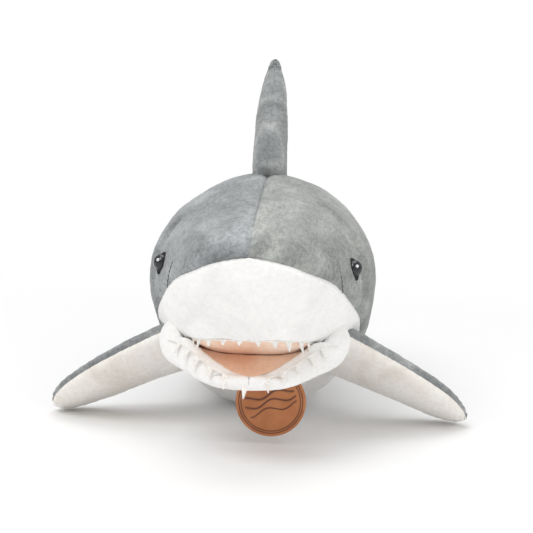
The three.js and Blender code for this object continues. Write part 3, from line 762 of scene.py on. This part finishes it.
def upper_line(t):
    a = abs(t) * math.pi / 2
    y = LIP_FRONT_Y + 1.2 + (CORNER_Y - LIP_FRONT_Y - 1.2) * (1 - math.cos(a))
    half = float(lip_half(CORNER_Y)) - 1.6
    x = math.copysign(min(half * math.sin(a), max(float(lip_half(y)) - 1.6, 0.0)), t)
    return Vector((x, y, float(lip_z(y)) + 1.0))


def lower_line(t):
    """Along the outer slope of the lower lip."""
    a = t * math.pi / 2 * 0.84
    aside = abs(math.sin(a))
    back, reach = CORNER_Y + 4, CORNER_Y + 4 - LIP_IN_Y
    out = 5.5 + 3.5 * aside
    y = back - reach * math.cos(a)
    return Vector(((LIP_IN_HALF + out) * math.sin(a), y - out * math.cos(a),
                   float(jaw_edge(np.float64(y))) - 1.2 * (1 - aside) + 1.2 * aside))


def plan_normal(line):
    def normal(t):
        side = line(min(t + 0.01, 1)) - line(max(t - 0.01, -1))
        return Vector((side.y, -side.x, 0)).normalized()
    return normal


# (place along the lip from -1 to 1, width, length) of each felt point
UPPER_TEETH = [(-0.86, 5, 7.5), (-0.70, 5.5, 8.5), (-0.54, 5, 7.0), (-0.40, 5, 4.6), (-0.24, 4.5, 3.4),
               (-0.08, 4.5, 3.2), (0.08, 4.5, 3.4), (0.24, 5, 4.2), (0.38, 5, 6.0), (0.52, 5, 6.8),
               (0.66, 5, 7.2), (0.80, 5, 7.8), (0.91, 4.5, 7.2)]
LOWER_TEETH = [(-0.72, 4.5, 7.5), (-0.60, 4.5, 8.5), (-0.48, 5, 9.0), (-0.35, 4.5, 9.0),
               (-0.21, 5, 9.5), (-0.03, 5.5, 10.5), (0.15, 5, 9.0), (0.30, 4.5, 9.5),
               (0.43, 5, 8.5), (0.56, 4.5, 8.0), (0.70, 4.5, 8.5)]


def make_teeth(material):
    strip = felt_strip("upper_teeth", upper_line, plan_normal(upper_line), UPPER_TEETH, 0.8, 0.8, 0.10,
                       material)
    finish_skin(strip, ["upper_teeth_strip"], "white_felt", "root")

    strip = felt_strip("lower_teeth", lower_line, plan_normal(lower_line), LOWER_TEETH, 0.8, 0.8, 0.42,
                       material)
    finish_skin(strip, ["lower_teeth_strip"], "white_felt", "jaw")


# ---- eyes, stitches, tag and label ------------------------------------------------------------
def assign(name, material):
    obj = frame["nodes"][name]
    obj = obj if hasattr(obj, "data") else bpy.data.objects[name]
    obj.data.materials.clear()
    obj.data.materials.append(material)


def surface_frame(y, angle):
    """Point, outward, upward and sideways directions on the skin, in mm."""
    p = skin(y, angle)
    along_y = skin(y + 1, angle) - skin(y - 1, angle)
    around = skin(y, angle + 1) - skin(y, angle - 1)
    out = Vector(np.cross(along_y, around)).normalized()
    if out.x * p[0] < 0:
        out = -out
    up = (Vector((0, 0, 1)) - out * out.z).normalized()
    return Vector(p), out, up, up.cross(out)


EYE_Y, EYE_ANGLE, EYE_R = -152.5, 16.0, 5.2
EYE_DEPTH, EYE_OUT = 4.1, 1.2          # how deep the dome is, and how far it stands off the skin
# size and flattening of the white dot on each eye, a painted highlight
GLINT_R, GLINT_FLAT = 1.05, 0.34


def make_eyes(gloss, felt, highlight):
    for side, label in ((1, "left"), (-1, "right")):
        angle = EYE_ANGLE if side > 0 else 180 - EYE_ANGLE
        p, out, up, across = surface_frame(EYE_Y, angle)
        facing = (out * 0.8 + Vector((0, -1, 0)) * 0.6).normalized()
        across = up.cross(facing).normalized()
        bm = bmesh.new()
        rings, segments = [], 40
        for a in range(-90, 91, 9):
            r, h = EYE_R * math.cos(math.radians(a)), EYE_DEPTH * math.sin(math.radians(a))
            ring = []
            for k in range(segments):
                turn = k * 2 * math.pi / segments
                spoke = (across * math.cos(turn) + up * math.sin(turn)) * r
                ring.append(bm.verts.new((p + out * EYE_OUT + facing * h + spoke) * MM))
            rings.append(ring)
        for a, b in zip(rings, rings[1:]):
            for k in range(segments):
                bm.faces.new((a[k], a[(k + 1) % segments], b[(k + 1) % segments], b[k]))
        bmesh.ops.remove_doubles(bm, verts=bm.verts, dist=1e-7)
        bmesh.ops.recalc_face_normals(bm, faces=bm.faces)
        mesh = bpy.data.meshes.new(f"eye_{label}_dome")
        bm.to_mesh(mesh)
        bm.free()
        mesh.polygons.foreach_set("use_smooth", [True] * len(mesh.polygons))
        obj = bpy.data.objects.new(f"eye_{label}_dome", mesh)
        bpy.context.scene.collection.objects.link(obj)
        mesh.materials.append(gloss)
        finish_skin(obj, [f"eye_{label}"], "black_plastic", "root")
        make_felt(label, p, out, up, across, felt)
        make_highlight(label, side, p, out, up, across, highlight)


def make_felt(label, p, out, up, across, material):
    """Teardrop of felt behind the eye, drooping to a point."""
    half = [(0.0, 8.8), (1.9, 7.0), (4.0, 4.6), (5.6, 2.0), (6.2, -0.6), (5.4, -3.0), (3.6, -5.2),
            (1.8, -7.2), (0.5, -9.6), (0.0, -10.2)]
    outline = half + [(-a, b) for a, b in half[-2:0:-1]]
    bm = bmesh.new()
    front, back = [], []
    for a, b in outline:
        a, b = a * 0.84, b * 0.80
        sink = 0.010 * (a * a + b * b)
        q = p + across * a + up * b + out * (0.8 - sink)
        front.append(bm.verts.new((q + out * 0.7) * MM))
        back.append(bm.verts.new((q - out * 0.8) * MM))
    bm.faces.new(front)
    bm.faces.new(back[::-1])
    for i in range(len(outline)):
        j = (i + 1) % len(outline)
        bm.faces.new((front[j], front[i], back[i], back[j]))
    bmesh.ops.triangulate(bm, faces=[f for f in bm.faces if len(f.verts) > 4])
    bmesh.ops.recalc_face_normals(bm, faces=bm.faces)
    mesh = bpy.data.meshes.new(f"eye_{label}_teardrop")
    bm.to_mesh(mesh)
    bm.free()
    obj = bpy.data.objects.new(f"eye_{label}_teardrop", mesh)
    bpy.context.scene.collection.objects.link(obj)
    mesh.materials.append(material)
    edge = obj.modifiers.new("cut edge", "BEVEL")
    edge.width, edge.segments, edge.limit_method = 0.0003, 2, "ANGLE"
    finish_skin(obj, [f"eye_felt_{label}"], "dark_felt", "root")


def make_highlight(label, side, p, out, up, across, material):
    """A small white dot on the dome, towards the front and top: a painted highlight standing in for the
    reflection of the studio light.
    """
    forward = (Vector((0, -1, 0)) + out * out.y).normalized()
    spot = (out * 0.52 + up * 0.30 + forward * 0.78).normalized()
    centre = p + out * EYE_OUT + spot * (EYE_R - 0.42)
    bpy.ops.mesh.primitive_uv_sphere_add(segments=24, ring_count=12, radius=GLINT_R * MM,
                                         location=centre * MM)
    obj = bpy.context.active_object
    # the dot piece is the painted highlight on the eye
    obj.name = f"eye_{label}_dot"
    obj.scale = (1.0, 1.0, GLINT_FLAT)
    obj.rotation_euler = spot.to_track_quat("Z", "Y").to_euler()
    obj.data.polygons.foreach_set("use_smooth", [True] * len(obj.data.polygons))
    obj.data.materials.append(material)
    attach(obj, "root")


def tube_object(name, path, radius, material, cyclic=False):
    data = bpy.data.curves.new(name, "CURVE")
    data.dimensions, data.bevel_depth, data.bevel_resolution = "3D", radius * MM, 3
    data.use_fill_caps = True
    spline = data.splines.new("POLY")
    spline.points.add(len(path) - 1)
    for point, q in zip(spline.points, path):
        point.co = (*(Vector(q) * MM), 1.0)
    spline.use_cyclic_u = cyclic
    obj = bpy.data.objects.new(name, data)
    bpy.context.scene.collection.objects.link(obj)
    data.materials.append(material)
    depsgraph = bpy.context.evaluated_depsgraph_get()
    mesh = bpy.data.meshes.new_from_object(obj.evaluated_get(depsgraph))
    solid = bpy.data.objects.new(name + "_mesh", mesh)
    bpy.context.scene.collection.objects.link(solid)
    bpy.data.objects.remove(obj)
    return solid


def make_darts(material):
    """Dark stitched dart ahead of each eye: short stitches, deeper at the bottom."""
    for side, label in ((1, "left"), (-1, "right")):
        parts = []
        for k in range(6):
            a0 = 18.5 - 3.4 * k
            path = []
            for f in (0.0, 0.5, 1.0):
                a = a0 - 2.8 * f
                p, out, _, _ = surface_frame(-181.0 - a / 9, a if side > 0 else 180 - a)
                path.append(p + out * (-0.3 + 0.45 * math.sin(math.pi * f)))
            parts.append(tube_object(f"dart_{label}_{k}", path, 0.24 + 0.03 * k, material))
        bpy.ops.object.select_all(action="DESELECT")
        for part in parts:
            part.select_set(True)
        bpy.context.view_layer.objects.active = parts[0]
        bpy.ops.object.join()
        parts[0].name = f"dart_{label}"
        finish_skin(parts[0], [f"nostril_stitch_{label}"], "dark_thread", "root")


TAG_R, TAG_THICK = 23.0, 1.6


def make_tag(material):
    """Round tag with burnt rings and a plain wave motif, all cut into its face."""
    low, high = (np.array(c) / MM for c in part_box("tag_disc"))
    centre = (low + high) / 2
    rings, segments = 100, 160
    radius = np.linspace(0, TAG_R - 0.35, rings)[:, None]
    angle = np.linspace(0, 2 * np.pi, segments, endpoint=False)[None, :]
    tilt = math.radians(17)
    x, z = radius * np.cos(angle), radius * np.sin(angle)
    turned_x = x * math.cos(tilt) + z * math.sin(tilt)
    turned_z = -x * math.sin(tilt) + z * math.cos(tilt)
    groove = np.zeros_like(x)
    for ring in (20.6, 19.2):
        groove = np.maximum(groove, np.exp(-((radius - ring) / 0.34) ** 2) + 0 * x)
    inside = np.clip((17.2 - radius) / 0.8, 0, 1)
    for k, level in enumerate((5.0, 0.0, -5.0)):
        wave = level + 1.7 * np.sin(turned_x / 3.4 + k * 1.3)
        groove = np.maximum(groove, np.exp(-((turned_z - wave) / (0.75 - 0.12 * k)) ** 2) * inside)
    verts = []
    for sign in (-1, 1):
        depth = TAG_THICK / 2 - (0.28 * groove if sign < 0 else 0 * groove)
        edge = np.clip((TAG_R - radius) / 0.5, 0, 1)
        y = sign * (depth - 0.25 * (1 - edge))
        verts.append(np.stack(np.broadcast_arrays(centre[0] + x, centre[1] + y, centre[2] + z), -1))
    faces = grid_faces(rings, segments, 0, True)
    offset = rings * segments
    faces += [tuple(v + offset for v in f[::-1]) for f in grid_faces(rings, segments, 0, True)]
    last = (rings - 1) * segments
    for j in range(segments):
        j_next = (j + 1) % segments
        faces.append((last + j, last + j_next, offset + last + j_next, offset + last + j))
    keep = np.hypot(x, z - (TAG_R - 4)) > 1.7
    keep = np.concatenate([keep.ravel(), keep.ravel()])
    faces = [f for f in faces if all(keep[v] for v in f)]
    vertices = np.concatenate([v.reshape(-1, 3) for v in verts])
    obj = mesh_object("tag", vertices, faces, material, weld=0.005)
    burn = obj.data.color_attributes.new("burn", "FLOAT_COLOR", "POINT")
    hits = {}
    for v, g in zip(verts[0].reshape(-1, 3), groove.ravel()):
        hits[tuple(np.round(v, 2))] = g
    for v, item in zip(obj.data.vertices, burn.data):
        g = hits.get(tuple(np.round(np.array(v.co) / MM, 2)), 0.0)
        item.color = (g, g, g, 1.0)
    finish_skin(obj, ["tag_disc"], "tag_leather", "tag")


def tag_material():
    """Smooth imitation leather with the motif burnt in darker."""
    mat, tree, bsdf = new_material("tag_leather", 0.55)
    grain = noise_node(tree, 90.0, (1, 1, 1), 4.0)
    tan = ramp(tree, grain, [(0.3, srgb(172, 104, 60)), (0.7, srgb(192, 124, 76))])
    burnt = node(tree, "ShaderNodeRGB")
    burnt.outputs[0].default_value = srgb(74, 36, 28)
    burn = node(tree, "ShaderNodeVertexColor", layer_name="burn")
    mix = node(tree, "ShaderNodeMix", data_type="RGBA")
    tree.links.new(burn.outputs["Color"], mix.inputs["Factor"])
    tree.links.new(tan, mix.inputs[6])
    tree.links.new(burnt.outputs[0], mix.inputs[7])
    tree.links.new(mix.outputs[2], bsdf.inputs["Base Color"])
    bump = node(tree, "ShaderNodeBump", Strength=0.2, Distance=0.0003)
    tree.links.new(noise_node(tree, 1400.0, (1, 1, 1), 3.0), bump.inputs["Height"])
    tree.links.new(bump.outputs["Normal"], bsdf.inputs["Normal"])
    return mat


def make_loop(material):
    """Ring of two twisted strands through the tag's hole."""
    low, high = (np.array(c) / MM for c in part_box("tag_loop"))
    centre = (low + high) / 2
    radius = (high[2] - low[2]) / 2 - 0.5
    for strand in (0, 1):
        path = []
        for k in range(121):
            a = 2 * math.pi * k / 120
            twist = 14 * a + strand * math.pi
            r = radius + 0.22 * math.cos(twist)
            path.append((centre[0] + 0.22 * math.sin(twist), centre[1] + r * math.cos(a),
                         centre[2] + r * math.sin(a)))
        obj = tube_object(f"loop_strand_{strand}", path[:-1], 0.27, material, True)
        if strand == 0:
            first = obj
        else:
            bpy.ops.object.select_all(action="DESELECT")
            first.select_set(True)
            obj.select_set(True)
            bpy.context.view_layer.objects.active = first
            bpy.ops.object.join()
            first.name = "tag_cord"
            finish_skin(first, ["tag_loop"], "dark_thread", "root")


def make_label(material):
    """Sewn-in ribbon label, slightly curled."""
    low, high = (np.array(c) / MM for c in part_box("care_label"))
    centre = (low + high) / 2
    rows, columns = 40, 30
    u, v = np.linspace(-0.5, 0.5, rows)[:, None], np.linspace(-0.5, 0.5, columns)[None, :]
    tilt = math.radians(40)
    curl = 1.1 * (v + 0.5) ** 2 * np.sin(u * 5 + 0.4) - 0.5
    across = 16.0 * v
    x = centre[0] + across * math.cos(tilt) - curl * math.sin(tilt)
    z = centre[2] - across * math.sin(tilt) + curl * math.cos(tilt)
    points = np.stack(np.broadcast_arrays(x, centre[1] + 24.0 * u, z), -1)
    obj = mesh_object("label", points.reshape(-1, 3), grid_faces(rows, columns), material, 0.5)
    finish_skin(obj, ["care_label"], "label_ribbon", "root")


def weave_material(name, light, dark):
    mat, tree, bsdf = new_material(name, 0.6)
    wave = node(tree, "ShaderNodeTexWave", Scale=260.0, Distortion=0.4)
    tree.links.new(scaled_coordinates(tree, (1, 1, 1)), wave.inputs["Vector"])
    threads = ramp(tree, wave.outputs["Fac"], [(0.3, dark), (0.7, light)])
    tree.links.new(threads, bsdf.inputs["Base Color"])
    bump = node(tree, "ShaderNodeBump", Strength=0.3, Distance=0.0002)
    tree.links.new(wave.outputs["Fac"], bump.inputs["Height"])
    tree.links.new(bump.outputs["Normal"], bsdf.inputs["Normal"])
    return mat


def gloss_material(name, colour, roughness):
    mat, tree, bsdf = new_material(name, roughness)
    bsdf.inputs["Coat Weight"].default_value = 0.5
    swirl = noise_node(tree, 60.0, (1, 1, 1), 2.0)
    darker = tuple(c * 0.6 for c in colour[:3]) + (1.0,)
    tree.links.new(ramp(tree, swirl, [(0.35, darker), (0.65, colour)]), bsdf.inputs["Base Color"])
    return mat


# ---- everything together ----------------------------------------------------------------------
FILLINGS = [("back_left", ["body_filling", "tail_filling"]), ("snout", ["snout_filling"]),
            ("jaw_skin", ["jaw_filling"]), ("fin_left_top_skin", ["fin_left_filling"]),
            ("fin_right_top_skin", ["fin_right_filling"]),
            ("dorsal_left_skin", ["dorsal_filling"]), ("caudal_left_skin", ["caudal_filling"])]


def build():
    grey_blue = plush_material("grey_plush_blue", srgb(136, 139, 141), srgb(160, 164, 166),
                               srgb(184, 188, 190))
    grey_light = plush_material("grey_plush_light", srgb(142, 145, 142), srgb(168, 171, 167),
                                srgb(194, 197, 192))
    grey_fin = plush_material("grey_plush_fin", srgb(136, 139, 140), srgb(162, 165, 165),
                              srgb(188, 191, 190), (0.45, 1.0, 1.0))
    white = plush_material("white_plush", srgb(244, 242, 240), srgb(250, 249, 247),
                           srgb(253, 252, 251), contrast=0.10)
    fin_white = plush_material("white_plush_fin", srgb(236, 229, 220), srgb(247, 242, 235),
                               srgb(252, 249, 245), contrast=0.14)
    peach = plush_material("peach_lining", srgb(244, 198, 168), srgb(252, 220, 196),
                           srgb(254, 232, 214), contrast=0.14, sheen=0.2, pile=0.3)
    felt = felt_material("white_felt", srgb(250, 248, 244), srgb(224, 220, 214))
    dark_felt = felt_material("dark_felt", srgb(46, 46, 50), srgb(24, 24, 28))
    thread = felt_material("dark_thread", srgb(104, 102, 102), srgb(70, 68, 68))
    eye_black = gloss_material("eye_black", srgb(8, 12, 22), 0.06)
    # white of the painted highlight dot on each eye
    eye_painted_glint = gloss_material("eye_painted_glint", srgb(250, 250, 250), 0.2)
    washer = gloss_material("washer_plastic", srgb(225, 225, 222), 0.4)
    ribbon = weave_material("label_ribbon", srgb(246, 246, 244), srgb(222, 222, 220))

    make_back(1, "back_left", grey_light, ["back_panel_left", "tail_back_left"])
    make_back(-1, "back_right", grey_blue, ["back_panel_right", "tail_back_right"])
    make_belly(white)
    make_snout(white)
    make_jaw(white)
    make_palate(peach)
    make_lining(peach)
    make_teeth(felt)
    make_pectorals(grey_fin, fin_white)
    make_dorsal(grey_fin)
    make_caudal(grey_fin)
    make_eyes(eye_black, dark_felt, eye_painted_glint)
    make_darts(thread)
    make_tag(tag_material())
    make_loop(thread)
    make_label(ribbon)
    for name in ("eye_washer_left", "eye_washer_right"):
        assign(name, washer)
    for skin_name, nodes in FILLINGS:
        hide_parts(*nodes)
    make_camera()
    make_stage()


build()
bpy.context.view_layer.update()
